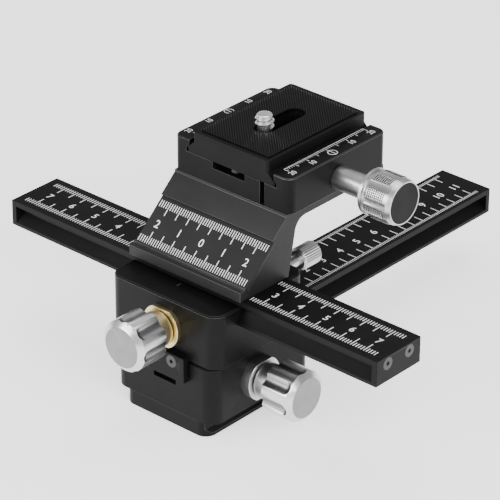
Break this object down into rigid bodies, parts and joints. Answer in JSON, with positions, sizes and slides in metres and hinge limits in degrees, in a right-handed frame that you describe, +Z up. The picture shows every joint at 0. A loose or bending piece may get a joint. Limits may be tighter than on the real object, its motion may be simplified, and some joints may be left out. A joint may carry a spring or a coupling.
{
  "type": "macro focusing rail",
  "caption": "Two crossed dovetail rails driven by rack and pinion, with scales, lock screws, a sloped bracket and a quick-release clamp with its camera plate.",
  "frame": {"origin": "centre of the tripod thread, at the mouth on the underside of the foot", "axes": "+Z up out of the foot, +X along the upper rail towards the clamp knob, +Y along the lower rail towards its long end"},
  "size_m": [0.1606, 0.1781, 0.0943],
  "materials": {
    "black_anodised": "satin black anodised",
    "bracket_grey": "satin dark grey anodised",
    "black_steel": "blackened",
    "bronze": "machined",
    "brass": "satin brass",
    "steel": "satin bright",
    "knob_metal": "satin silver",
    "knob_disc": "matte black",
    "pad_rubber": "ribbed glossy black"
  },
  "bodies": {
    "base": {"foot_plate": "black_anodised", "foot_screws": "black_steel", "tripod_bush": "steel", "lower_block": "black_anodised", "lower_gib": "bronze", "lower_gib_screws": "black_steel", "lower_drive_bush": "steel", "lower_inner_bush": "bronze"},
    "lower_drive": {"lower_drive_shaft": "steel", "lower_pinion": "steel", "lower_drive_knob": "knob_metal"},
    "lower_lock": {"lower_lock_stud": "steel", "lower_lock_knob": "knob_metal"},
    "cross_slide": {"lower_rail": "black_anodised", "lower_rack": "steel", "lower_rack_screws": "black_steel", "lower_front_cap": "black_anodised", "lower_rear_cap": "black_anodised", "lower_cap_screws": "black_steel", "carriage_screws": "black_steel", "upper_block": "black_anodised", "upper_gib": "bronze", "upper_gib_screws": "black_steel", "upper_drive_bush": "brass", "upper_inner_bush": "bronze"},
    "upper_drive": {"upper_drive_shaft": "steel", "upper_pinion": "steel", "upper_drive_knob": "knob_metal"},
    "upper_lock": {"upper_lock_stud": "steel", "upper_lock_knob": "knob_metal"},
    "top_slide": {"upper_rail": "black_anodised", "upper_rack": "steel", "upper_rack_screws": "black_steel", "upper_left_cap": "black_anodised", "upper_right_cap": "black_anodised", "upper_cap_screws": "black_steel", "bracket": "bracket_grey", "scale_plate": "bracket_grey", "bracket_screws": "black_steel", "clamp_body": "black_anodised", "clamp_body_screws": "black_steel", "stop_stud": "steel"},
    "jaw": {"movable_jaw": "black_anodised", "jaw_guide_pins": "steel"},
    "clamp_turn": {"clamp_screw": "steel", "clamp_ring": "steel", "clamp_knob": "knob_metal", "clamp_knob_disc": "knob_disc"},
    "plate": {"quick_plate": "black_anodised", "plate_pad": "pad_rubber", "plate_pins": "black_steel"},
    "slider": {"screw_slider": "steel"},
    "camera_screw": {"camera_screw": "steel"}
  },
  "joints": [
    {"name": "cross_slide_travel", "type": "slide", "parent": "base", "child": "cross_slide", "axis": [0, 1, 0], "range_m": [-0.1065, 0.0004]},
    {"name": "lower_drive_turn", "type": "hinge", "parent": "base", "child": "lower_drive", "pos_m": [0.0362, 0, 0.0162], "axis": [1, 0, 0], "range_deg": [-10, 1530]},
    {"name": "lower_lock_turn", "type": "hinge", "parent": "base", "child": "lower_lock", "pos_m": [-0.034, 0.0124, 0.0226], "axis": [-1, 0, 0], "range_deg": [-30, 720]},
    {"name": "top_slide_travel", "type": "slide", "parent": "cross_slide", "child": "top_slide", "axis": [1, 0, 0], "range_m": [-0.0554, 0.0533]},
    {"name": "upper_drive_turn", "type": "hinge", "parent": "cross_slide", "child": "upper_drive", "pos_m": [0, -0.0344, 0.03605], "axis": [0, -1, 0], "range_deg": [-765, 795]},
    {"name": "upper_lock_turn", "type": "hinge", "parent": "cross_slide", "child": "upper_lock", "pos_m": [0.0124, 0.034, 0.0436], "axis": [0, 1, 0], "range_deg": [-30, 720]},
    {"name": "jaw_travel", "type": "slide", "parent": "top_slide", "child": "jaw", "axis": [1, 0, 0], "range_m": [-0.0008, 0.002]},
    {"name": "clamp_knob_turn", "type": "hinge", "parent": "jaw", "child": "clamp_turn", "pos_m": [0.039, 0.0349, 0.07715], "axis": [1, 0, 0], "range_deg": [-355, 895]},
    {"name": "plate_travel", "type": "slide", "parent": "top_slide", "child": "plate", "axis": [0, 1, 0], "range_m": [-0.0174, 0.0174]},
    {"name": "screw_travel", "type": "slide", "parent": "plate", "child": "slider", "axis": [0, 1, 0], "range_m": [0, 0.0149]},
    {"name": "camera_screw_turn", "type": "hinge", "parent": "slider", "child": "camera_screw", "pos_m": [0, 0.0274, 0.088], "axis": [0, 0, 1], "continuous": true}
  ],
  "couplings": [
    {"joint": "lower_drive_turn", "follows": "cross_slide_travel", "rad_per_m": -250},
    {"joint": "upper_drive_turn", "follows": "top_slide_travel", "rad_per_m": -250},
    {"joint": "jaw_travel", "follows": "clamp_knob_turn", "m_per_rad": 0.00012732}
  ]
}
